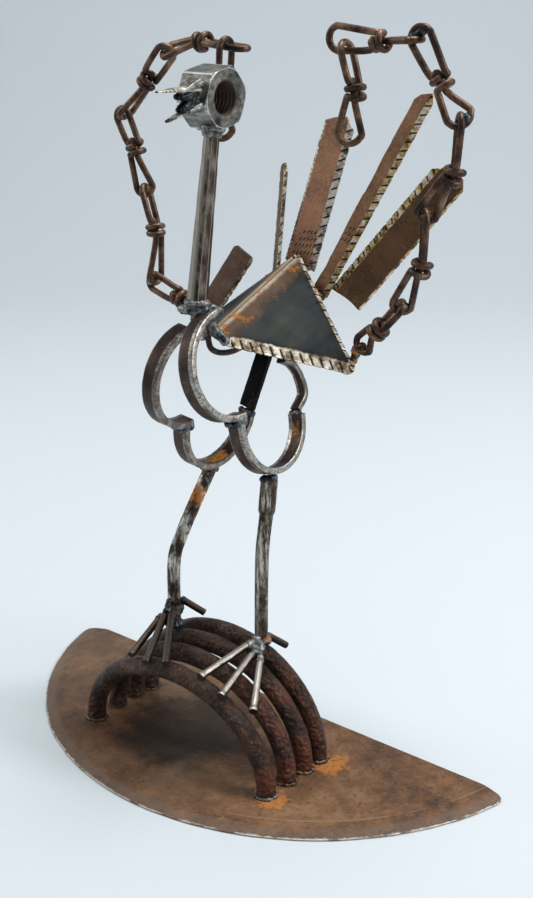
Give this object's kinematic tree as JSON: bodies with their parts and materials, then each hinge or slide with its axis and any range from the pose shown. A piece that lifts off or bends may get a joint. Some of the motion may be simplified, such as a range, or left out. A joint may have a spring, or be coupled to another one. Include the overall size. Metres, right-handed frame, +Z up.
{
  "type": "welded scrap-steel lyrebird sculpture",
  "caption": "Standing lyrebird welded from scrap steel, with a hex-nut head, saw-toothed tail blades and long tail plumes of hooked chain, on a mound of spring bar on a cut disc base.",
  "frame": {"origin": "on the base plate's flat underside, under the middle of the plate's depth", "axes": "+Z up; +X along the plate's straight edge to the bird's left; -Y the way the bird faces"},
  "size_m": [0.393, 0.2145, 0.4954],
  "materials": {
    "rusty_plate": "mottled brown rust with a worn bright rim",
    "spring_steel": "dark brown pitted rust",
    "worn_steel": "brushed bright steel with brown staining",
    "toe_steel": "worn bright on top, brown below",
    "flat_bar": "brown mill face with ground bright edges",
    "black_bar": "matt black",
    "knife_section": "blue-black polished face with a pale grooved bevel",
    "weld": "blue-grey rippled weld with orange rust",
    "blade_strip": "brown rust with a bright serrated edge",
    "chain": "brown rusted wire, lighter on top"
  },
  "bodies": {
    "root": {"base_plate": "rusty_plate", "beak_lower": "worn_steel", "beak_upper": "worn_steel", "beak_weld": "weld", "body_plate_left": "knife_section", "body_plate_right": "knife_section", "brace_left": "flat_bar", "brace_right": "black_bar", "feather_1": "blade_strip", "feather_2": "blade_strip", "feather_3": "blade_strip", "feather_4": "blade_strip", "feather_5": "blade_strip", "head_nut": "worn_steel", "keel_rod": "black_bar", "left_link_1": "chain", "left_link_2": "chain", "left_link_3": "chain", "left_link_4": "chain", "left_link_5": "chain", "left_link_6": "chain", "leg_left": "worn_steel", "leg_right": "worn_steel", "neck": "worn_steel", "right_link_1": "chain", "right_link_2": "chain", "right_link_3": "chain", "right_link_4": "chain", "right_link_5": "chain", "right_link_6": "chain", "spring_bar_1": "spring_steel", "spring_bar_2": "spring_steel", "spring_bar_3": "spring_steel", "spring_bar_4": "spring_steel", "thigh_back_left": "flat_bar", "thigh_back_right": "flat_bar", "thigh_front_left": "flat_bar", "thigh_front_right": "flat_bar", "toe_left_1": "toe_steel", "toe_left_2": "toe_steel", "toe_left_3": "toe_steel", "toe_left_4": "toe_steel", "toe_right_1": "toe_steel", "toe_right_2": "toe_steel", "toe_right_3": "toe_steel", "toe_right_4": "toe_steel"}
  },
  "joints": []
}
